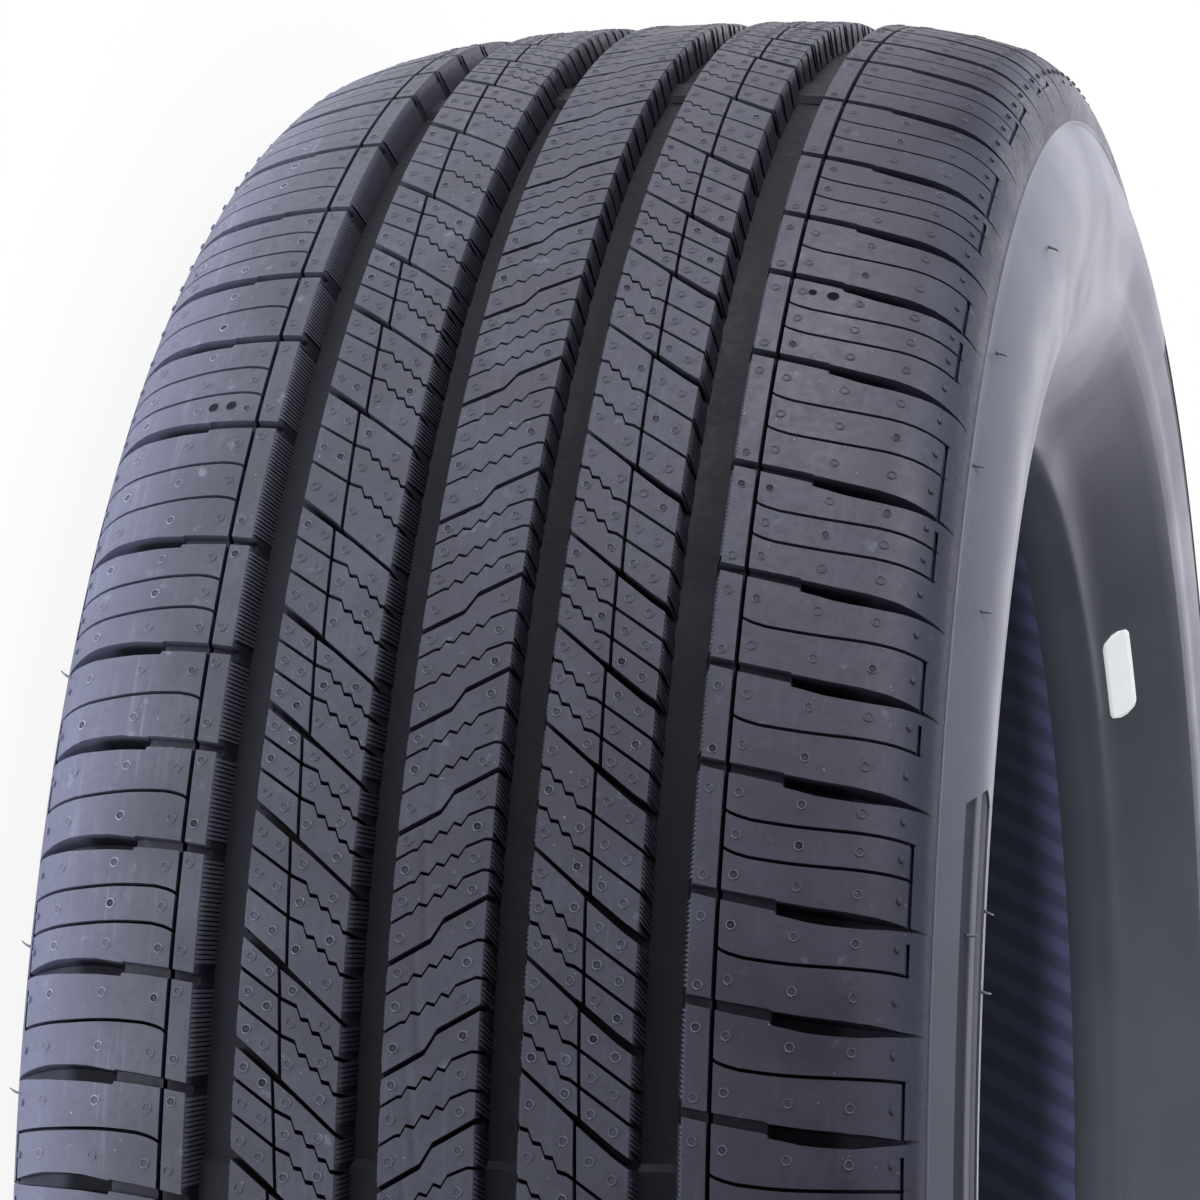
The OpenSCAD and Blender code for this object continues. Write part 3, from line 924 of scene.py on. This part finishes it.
class Section:
    """The turned section outside the tread: sidewall, rim guard, bead and liner."""

    def __init__(self, tread, sizes):
        self.tread, self.sizes = tread, sizes
        corner = tread.corner
        self.toe = sizes.bead_width - BEAD_LENGTH
        self.level = R - sizes.widest_drop
        self.half = min(sizes.section_width / 2, HALF)
        rise, reach = corner[1] - self.level, self.half - corner[0]
        self.wall_radius = (rise ** 2 + reach ** 2) / (2 * reach)
        self.centre = self.half - self.wall_radius
        self.top_angle = math.asin(rise / self.wall_radius)

    def across_at(self, radius):
        """Place across of the outside at a radius: the shoulder's arc down to the corner, an arc over the
        bands, then a tighter curve that ends in a cone towards the bead."""
        tread, start = self.tread, self.sizes.roll_radius
        shoulder = tread.curve_across + np.sqrt(tread.sizes.shoulder_radius ** 2
                                                - np.maximum(radius - tread.corner[1], 0) ** 2)
        arc = np.sqrt(self.wall_radius ** 2 - (np.maximum(radius, start) - self.level) ** 2)
        slope = (start - self.level) / math.sqrt(self.wall_radius ** 2 - (start - self.level) ** 2)
        past = np.maximum(start - radius, 0)
        curved = np.minimum(past, ROLL_REACH)
        roll = slope * past - ROLL_CURVE * (curved * past - curved ** 2 / 2)
        return np.where(radius > tread.corner[1], shoulder, self.centre + arc + roll)

    def wall(self):
        """Sidewall from the tread's last row inwards: a fine moulding ridge at its top, then down over the
        bands to the rim guard. Places across and radii."""
        top = self.tread.surface(np.array(TREAD_END))
        ridge = np.array([0.0, 0.2, 0.7, 1.0])
        lower = self.tread.corner[1] - np.array([0, 2, 4, 7, 9.5, 12, 14.5, 17, 19.5, 22, 24.5, 27, 29.5, 32,
                                                 35, 38.5])
        guard = np.array([276.5, 275.6, 274.0, 271.5, 270.3, 268.6])
        radius = np.concatenate([top - ridge, lower, guard])
        lift = np.concatenate([(0.0, 0.3, 0.3, 0.0), 0 * lower,
                               self.sizes.guard_height * np.array((0.0, 0.8, 1.0, 1.0, 0.75, 0.0))])
        return self.across_at(radius) + lift, radius

    def bead(self):
        """Lower sidewall, flange face, heel, seat and toe, from the rim guard inwards."""
        heel, seat, toe = self.sizes.bead_width, self.sizes.bead_seat, self.toe
        points = np.array([(heel + 24.5, seat + 36.5), (heel + 21, seat + 32), (heel + 17.8, seat + 28),
                           (heel + 14.5, seat + 24), (heel + 10.8, seat + 20), (heel + 7, seat + 16),
                           (heel + 4.0, seat + 13), (heel + 1.4, seat + 10), (heel + 0.3, seat + 7.3),
                           (heel, seat + 4.5), (heel - 0.5, seat + 2.7), (heel - 1.6, seat + 1.5),
                           (heel - 4, seat + 0.55), (toe + 9.0, seat), (toe + 1, seat),
                           (toe + 0.3, seat + 0.35), (toe, seat + 1.2)])
        return points[:, 0], points[:, 1]

    def liner(self):
        """Inner face from the toe past the sidewall to the middle of the crown."""
        sizes, tread = self.sizes, self.tread
        seat, toe = sizes.bead_seat, self.toe
        inner = self.wall_radius - sizes.thickness
        start = np.array([(toe, seat + 1.2), (toe + 0.6, seat + 4), (toe + 1.5, seat + 7),
                          (toe + 3.8, seat + 12.5), (toe + 7, seat + 18), (toe + 12.5, seat + 24),
                          (toe + 19, seat + 30), (toe + 27.5, seat + 36)])
        turn = np.radians(np.linspace(-14, math.degrees(self.top_angle) + 3, 14))
        arc = np.stack([self.centre + inner * np.cos(turn), self.level + inner * np.sin(turn)], 1)
        base = tread.sizes.groove_depth + sizes.under_tread
        crown_at = np.linspace(tread.curve_start + 3, 0, 12)
        crown = tread.surface(crown_at) - base - np.interp(crown_at, (46, 72, 95), (0, 1.5, 0.5))
        points = np.concatenate([start, arc, np.stack([crown_at, crown], 1)])
        return points[:, 0], points[:, 1]


def turned_grid(across, radius, side):
    """A section turned round the axle line in columns one degree apart."""
    columns = 360
    turn = np.linspace(0, TURN, columns, endpoint=False)[:, None]
    return place(side * across, turn, radius), grid_faces(columns, len(across), True, side < 0)


def densify(across, radius, step):
    """Adds points to a section so that none of its stretches is longer than a step."""
    places = np.stack([across, radius], 1)
    lengths = np.linalg.norm(np.diff(places, axis=0), axis=1)
    parts = np.maximum(1, np.ceil(lengths / step)).astype(int)
    at = np.concatenate([k + np.arange(n) / n for k, n in enumerate(parts)] + [[len(places) - 1.0]])
    index = np.arange(len(places))
    return np.interp(at, index, places[:, 0]), np.interp(at, index, places[:, 1])


# Ends of the plain bands in degrees round the tyre, and outer and inner radius of each band.
BAND_ENDS = (-52.0, 38.2)
BAND_RADII = ((308.9, 303.7), (300.7, 291.6))


def wall_grid(section, side):
    """Sidewall with two plain sunk bands on part of its turn, repeated on the far side. Columns lean so
    that the bands end in slanted tips, and rows and columns stand in pairs at the bands' edges so that
    they are crisp."""
    columns, row_gap, column_gap = 480, 0.12, 0.03
    across, radius = densify(*section.wall(), 6.0)
    edges = np.array([edge + gap for band in BAND_RADII for edge in band for gap in (-row_gap, row_gap)])
    radii = np.sort(np.concatenate([radius, edges]))[::-1]
    across = np.interp(-radii, -radius, across)
    turn = np.linspace(0, 360, columns, endpoint=False)
    ends = np.array([end + half for half in (0, 180) for end in BAND_ENDS]) % 360
    near = np.abs((turn[:, None] - ends + 180) % 360 - 180).min(1) < 0.5
    turn = np.sort(np.concatenate([turn[~near], (ends - column_gap) % 360, (ends + column_gap) % 360]))
    inside = (turn - BAND_ENDS[0]) % 180 < BAND_ENDS[1] - BAND_ENDS[0]
    in_band = np.any([(radii < outer) & (radii > inner) for outer, inner in BAND_RADII], axis=0)
    sunk = 1.0 * inside[:, None] * in_band
    slant = np.interp(radii, (288, 296, 309.5, 316), (0, 0.95, -0.95, 0))
    angle = np.radians(turn[:, None] + slant)
    points = place(side * (across - section.sizes.band_depth * sunk), angle * R, radii)
    return points, grid_faces(len(turn), len(radii), True, side < 0), sunk


# Angles of the label's two ends in degrees, and the radius of its middle.
LABEL_ENDS, LABEL_RADIUS = (147.5, 156.0), 245.0


def label_grid(section):
    """A plain label with round ends on the flange face of the upper bead, a thin shell over the rubber. Its
    ends narrow as a circle does, by its fall as a share of their fullness."""
    rows, columns = 25, 7
    half_width, corner, fullness, proud = 4.2, 4.2, 5.4, 0.25
    low, high = np.radians(LABEL_ENDS)
    around = np.linspace(-1, 1, rows)[:, None]
    sideways = np.linspace(-1, 1, columns)
    half_length = 0.5 * (high - low) * LABEL_RADIUS
    past = np.clip(np.abs(around) * half_length - (half_length - corner), 0, corner)
    narrow = (fullness - corner + np.sqrt(corner ** 2 - past ** 2)) / fullness
    radius = LABEL_RADIUS + half_width * sideways * narrow
    bead_across, bead_radius = section.bead()
    across = np.interp(-radius, -bead_radius, bead_across) + proud
    angle = 0.5 * (low + high) + around * 0.5 * (high - low)
    return place(across, angle * R, radius), grid_faces(rows, columns, False)


# Vents left untrimmed: place across and angle in degrees of those on the shoulders, and radius and angle
# of those on the upper sidewall.
SHOULDER_WHISKERS = ((-104.2, 41.5), (-104.6, 29.6), (-104.6, 23.6), (-98, 64), (104, 12), (-103.5, -60),
                     (103, -118), (-101, 170), (102, -160))
WALL_WHISKERS = ((291, 33.5), (306, 31.5), (290, 29.7), (290, 10.5), (291, 9.0), (290, 7.6), (316, 62),
                 (318, 54), (309, 47), (305, 76), (300, -95), (312, 205), (296, 250), (308, 290))


def whisker_paths(tread, section):
    """Paths of the few vents that were left untrimmed. Those on the shoulders go straight out and bend
    forward by the square of the way. Those on the sidewall lean in towards the axle, and their rise slows
    down so that they stay inside the solid's box."""
    shoulder, wall = np.array(SHOULDER_WHISKERS), np.array(WALL_WHISKERS)
    way = np.linspace(0, 1, 5)[:, None]
    here, outward, forward, _ = surface_frames(tread, shoulder[:, 0], np.radians(shoulder[:, 1]) * R)
    first = here[:, None] + outward[:, None] * (2.6 * MM * way) + forward[:, None] * (1.1 * MM * way ** 2)

    radius, angle = wall[:, 0], np.radians(wall[:, 1])
    wall_across, wall_radius = section.wall()
    across = np.interp(-radius, -wall_radius, wall_across)
    inward = np.stack([-np.cos(angle), np.sin(angle), 0 * angle], 1)
    onward = np.stack([-np.sin(angle), -np.cos(angle), 0 * angle], 1)
    room = np.maximum(HALF - across, 0.8)
    rise = np.minimum(0.8 * room, 2.5)[:, None, None] * (1 - (1 - way) ** 2)
    reach = np.where(radius < 295, 5.0, 1.8)[:, None, None] * way
    second = place(across, angle * R, radius)[:, None] + np.array((0.0, 0.0, 1.0)) * (MM * rise)
    second = second + inward[:, None] * (MM * reach) + onward[:, None] * (0.8 * MM * way ** 2)
    return np.concatenate([first, second])


# Wear holes: place across, place along and radius.
WEAR_HOLES = ((-77, 329, 1.4), (-72, 328.5, 1.4), (69.5, 364.5, 1.0), (74.5, 364, 1.5))


def wear_hole_grid(tread):
    """Pairs of small depth holes in the shoulders, three times round: a disc darkened with painted shade
    where the hole would be, with a low lip, a profile of five circles turned round each place."""
    times = 3
    across, along, radius = np.array([(u, start + turn * TURN / times, r) for u, start, r in WEAR_HOLES
                                      for turn in range(times)]).T
    radii = radius[:, None] * np.array((1.16, 1.0, 0.93, 0.45, 0.02))
    heights = np.array((-0.03, 0.14, 0.04, 0.03, 0.03))
    points, quads = turned_discs(surface_frames(tread, across, along), radii, heights, 20)
    return points, quads, np.broadcast_to((0.1, 0.1, 1.18, 1.18, 1.18), points.shape[:3])


class TYRE_OT_tread(bpy.types.Operator):
    """Build the middle rib, the two second ribs and the two shoulders"""

    bl_idname = "tyre.tread"
    bl_label = "Tread ribs and shoulders"

    def execute(self, context):
        tread = Tread(context.scene.tyre_tread)
        rubber = finish(moulded_tread_rubber, tread)
        middle = add_grid("middle_rib", middle_rib_grid(tread), 1, rubber)
        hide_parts("tyre")
        for side, name in SIDES:
            add_grid("second_rib_" + name, second_rib_grid(tread, side), side, rubber)
            add_grid("shoulder_" + name, shoulder_grid(tread, side), side, rubber)
        return {"FINISHED"}


class TYRE_OT_grooves(bpy.types.Operator):
    """Build the floors, wear bars and wall serrations of the four wide grooves"""

    bl_idname = "tyre.grooves"
    bl_label = "Wide grooves"

    def execute(self, context):
        tread = Tread(context.scene.tyre_tread)
        rubber = finish(moulded_tread_rubber, tread)
        grooves = [(side, wall) for side, _ in SIDES for wall in (0, 2)]
        for name, maker in (("groove_floors", floor_grid), ("wear_bars", wear_bar_grid)):
            new_piece(name, *join_grids([maker(tread, side, wall) for side, wall in grooves]), rubber)
        for side, name in SIDES:
            combs = [comb_grid(tread, side, wall) for wall in range(4)]
            painted_light_and_tone = np.concatenate([comb[2].ravel() for comb in combs])
            new_piece("wall_serrations_" + name, *join_grids(combs), rubber, painted_light_and_tone)
        return {"FINISHED"}


class TYRE_OT_walls(bpy.types.Operator):
    """Build the sidewalls, the beads and the inner liner"""

    bl_idname = "tyre.walls"
    bl_label = "Sidewalls, beads and liner"

    def execute(self, context):
        section = Section(Tread(context.scene.tyre_tread), context.scene.tyre_walls)
        rubber = finish(moulded_wall_rubber)
        heel, seat = section.sizes.bead_width, section.sizes.bead_seat
        for side, name in SIDES:
            points, quads, painted_light_and_tone = wall_grid(section, side)
            new_piece("sidewall_" + name, points, quads, rubber, painted_light_and_tone)
            # A bead starts at the sidewall's last row, and darkens on its seat towards the toe with painted
            # shade.
            last_row = np.array(section.wall())[:, -1:]
            across, radius = np.concatenate([last_row, section.bead()], axis=1)
            points, quads = turned_grid(across, radius, side)
            shade = np.interp(across, (heel - 16.2, heel - 7.5), (0.9, 0.0)) * (radius < seat + 2)
            new_piece("bead_" + name, points, quads, rubber, np.broadcast_to(shade, points.shape[:2]))
        across, radius = section.liner()
        across = np.concatenate([across, -across[-2::-1]])
        radius = np.concatenate([radius, radius[-2::-1]])
        new_piece("inner_liner", *turned_grid(across, radius, 1), finish(bladder_pressed_liner))
        return {"FINISHED"}


class TYRE_OT_vents(bpy.types.Operator):
    """Build the trimmed vents, the wear holes and the few whiskers"""

    bl_idname = "tyre.vents"
    bl_label = "Vents"

    def execute(self, context):
        scene = context.scene
        tread = Tread(scene.tyre_tread)
        section = Section(tread, scene.tyre_walls)
        rubber = finish(moulded_tread_rubber, tread)
        points, quads, painted_light_and_tone = vent_grid(tread, scene.tyre_vents)
        new_piece("trimmed_vents", points, quads, rubber, painted_light_and_tone)
        points, quads, painted_light_and_tone = wear_hole_grid(tread)
        new_piece("wear_holes", points, quads, rubber, painted_light_and_tone)
        paths = whisker_paths(tread, section)
        radii = np.linspace(1.0, 0.35, paths.shape[1]) * scene.tyre_vents.whisker_radius * MM
        new_piece("vent_whiskers", *tube_grid(paths, radii), finish(moulded_wall_rubber), sharp=80)
        return {"FINISHED"}


class TYRE_OT_label(bpy.types.Operator):
    """Build the plain paper label on the upper bead"""

    bl_idname = "tyre.label"
    bl_label = "Label"

    def execute(self, context):
        section = Section(Tread(context.scene.tyre_tread), context.scene.tyre_walls)
        label = new_piece("bead_label", *label_grid(section), finish(coated_paper))
        solid = label.modifiers.new("thickness", "SOLIDIFY")
        solid.thickness = 0.15 * MM
        solid.offset = -1
        return {"FINISHED"}


# The camera that looks at the tyre as the photograph does: place in metres, aim as a direction, roll in
# radians, and focal length in millimetres on a sensor 36 mm wide.
CAMERA_PLACE = (1.2626, -0.4435, 0.2736)
CAMERA_AIM = (-0.9536, 0.1936, -0.2305)
CAMERA_ROLL = -0.0598
FOCAL_LENGTH = 135.93


def set_camera():
    """Adds that camera. The tyre lies on its lower sidewall, so the picture's right is up."""
    forward = Vector(CAMERA_AIM).normalized()
    upright = Vector((0.0, -1.0, 0.0))
    right = forward.cross(upright).normalized()
    above = right.cross(forward)
    turned_right = math.cos(CAMERA_ROLL) * right + math.sin(CAMERA_ROLL) * above
    turned_up = math.cos(CAMERA_ROLL) * above - math.sin(CAMERA_ROLL) * right
    data = bpy.data.cameras.new("camera")
    data.lens = FOCAL_LENGTH
    data.sensor_width = 36.0
    camera = bpy.data.objects.new("camera", data)
    bpy.context.scene.collection.objects.link(camera)
    axes = Matrix((turned_right, turned_up, -forward)).transposed().to_4x4()
    camera.matrix_world = Matrix.Translation(Vector(CAMERA_PLACE)) @ axes
    bpy.context.scene.camera = camera


def add_lamp(name, stand, aim, width, height, watts):
    """A soft box: an area lamp at a place, turned to an aim, with a faint blue in its white."""
    data = bpy.data.lights.new(name, "AREA")
    data.shape = "RECTANGLE"
    data.size, data.size_y, data.energy = width, height, watts
    data.color = linear("#f6f6ff")[:3]
    lamp = bpy.data.objects.new(name, data)
    bpy.context.scene.collection.objects.link(lamp)
    lamp.location = stand
    lamp.rotation_euler = (Vector(aim) - Vector(stand)).to_track_quat("-Z", "Y").to_euler()


def floor_white(tree, shade):
    """Mixes a floor's shader with plain white where a camera, mirror or glass ray sees it, and with a
    stronger white elsewhere, as a floor lit from below gives. Near the tyre less of it is mixed in, so
    that the tyre's shadow stays."""
    path = node(tree, "LightPath").outputs
    seen = sums(tree, "MAXIMUM", path["Is Camera Ray"], path["Is Glossy Ray"])
    seen = sums(tree, "MAXIMUM", seen, path["Is Transmission Ray"])
    here = node(tree, "TexCoord").outputs["Object"]
    parts = node(tree, "SeparateXYZ", Vector=here).outputs
    away = node(tree, "VectorMath", {"operation": "LENGTH"}, i0=here).outputs["Value"]
    # The white glows within the tyre, more on its far side, in a ring close round it, and faintly beyond.
    outside = ramp(tree, away, 0.28, 0.36)
    inside = sums(tree, "MULTIPLY", ramp(tree, parts["Y"], -0.12, 0.15, 0.3, 2.2),
                  sums(tree, "SUBTRACT", 1.0, outside))
    ring = sums(tree, "MULTIPLY", ramp(tree, away, 0.33, 0.37), ramp(tree, away, 0.42, 0.6, 3.6, 0.0))
    around = sums(tree, "ADD", ring, sums(tree, "MULTIPLY", outside, 0.7))
    around = sums(tree, "MULTIPLY", around, ramp(tree, parts["X"], 0.33, 0.6, 1.0, 0.7))
    glow = sums(tree, "MULTIPLY", sums(tree, "SUBTRACT", 1.0, seen), sums(tree, "ADD", around, inside))
    white = node(tree, "Emission", Strength=sums(tree, "ADD", seen, glow),
                 Color=blend_colours(tree, seen, "#eff2ff", "#ffffff"))
    weight = ramp(tree, away, 0.345, 0.42, 0.91, 1.0)
    return node(tree, "MixShader", i0=weight, i1=shade, i2=white.outputs[0]).outputs[0]


def studio_floor():
    """A white paper sweep: seen as white, and dimmed only where the tyre shades it."""
    colours = bpy.context.scene.tyre_colours
    material = bpy.data.materials.new("white_paper_sweep")
    material.use_nodes = True
    tree = material.node_tree
    shader = tree.nodes["Principled BSDF"]
    shader.inputs["Base Color"].default_value = tuple(colours.floor) + (1.0,)
    shader.inputs["Roughness"].default_value = 0.9
    shader.inputs["Specular IOR Level"].default_value = 0.1
    tree.links.new(floor_white(tree, shader.outputs[0]), tree.nodes["Material Output"].inputs["Surface"])
    return material


def studio_world(scene):
    """A dim, faintly blue room, which a camera or glass ray sees as white."""
    world = bpy.data.worlds.new("studio")
    scene.world = world
    world.use_nodes = True
    tree = world.node_tree
    background = tree.nodes["Background"]
    path = node(tree, "LightPath").outputs
    seen = sums(tree, "MAXIMUM", path["Is Camera Ray"], path["Is Transmission Ray"])
    tree.links.new(blend_colours(tree, seen, "#f0f1ff", "#ffffff"), background.inputs["Color"])
    tree.links.new(ramp(tree, seen, 0.0, 1.0, 0.14, 1.0), background.inputs["Strength"])


class TYRE_OT_stage(bpy.types.Operator):
    """Build the floor, the lamps, the world and the camera"""

    bl_idname = "tyre.stage"
    bl_label = "Stage"

    def execute(self, context):
        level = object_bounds()[0].z
        reach = 14.0
        mesh = bpy.data.meshes.new("floor")
        mesh.from_pydata([(-reach, -reach, level), (reach, -reach, level), (reach, reach, level),
                          (-reach, reach, level)], [], [(0, 1, 2, 3)])
        mesh.materials.append(studio_floor())
        floor = bpy.data.objects.new("floor", mesh)
        context.scene.collection.objects.link(floor)
        floor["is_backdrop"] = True
        add_lamp("upper_box", (0.0, -1.5, 1.4), (0.0, -0.1, 0.0), 1.6, 1.0, 20)
        add_lamp("top_box", (0.5, 0.2, 2.2), (0.2, 0.0, 0.0), 1.6, 1.6, 7)
        add_lamp("side_box", (0.0, -2.3, 0.3), (0.1, 0.0, 0.0), 1.6, 0.6, 20)
        add_lamp("back_box", (-2.4, 0.3, 0.8), (0.0, 0.0, 0.1), 2.6, 1.2, 28)
        studio_world(context.scene)
        context.scene.view_settings.view_transform = "Standard"
        set_camera()
        return {"FINISHED"}


OPERATORS = (TYRE_OT_tread, TYRE_OT_grooves, TYRE_OT_walls, TYRE_OT_vents, TYRE_OT_label, TYRE_OT_stage)


class TYRE_PT_panel(bpy.types.Panel):
    """Panel in the sidebar that lists the pieces"""

    bl_label = "Road tyre"
    bl_idname = "TYRE_PT_panel"
    bl_space_type = "VIEW_3D"
    bl_region_type = "UI"
    bl_category = "Tyre"

    def draw(self, context):
        for operator in OPERATORS:
            self.layout.operator(operator.bl_idname)


CLASSES = (TreadSizes, WallSizes, VentSizes, Colours, *OPERATORS, TYRE_PT_panel)
GROUPS = {"tyre_tread": TreadSizes, "tyre_walls": WallSizes, "tyre_vents": VentSizes, "tyre_colours": Colours}


def register():
    for item in CLASSES:
        bpy.utils.register_class(item)
    for name, group in GROUPS.items():
        setattr(bpy.types.Scene, name, PointerProperty(type=group))


def unregister():
    for name in GROUPS:
        delattr(bpy.types.Scene, name)
    for item in reversed(CLASSES):
        bpy.utils.unregister_class(item)


def main():
    register()
    bpy.ops.tyre.tread()
    bpy.ops.tyre.grooves()
    bpy.ops.tyre.walls()
    bpy.ops.tyre.vents()
    bpy.ops.tyre.label()
    bpy.ops.tyre.stage()


if __name__ == "__main__":
    main()
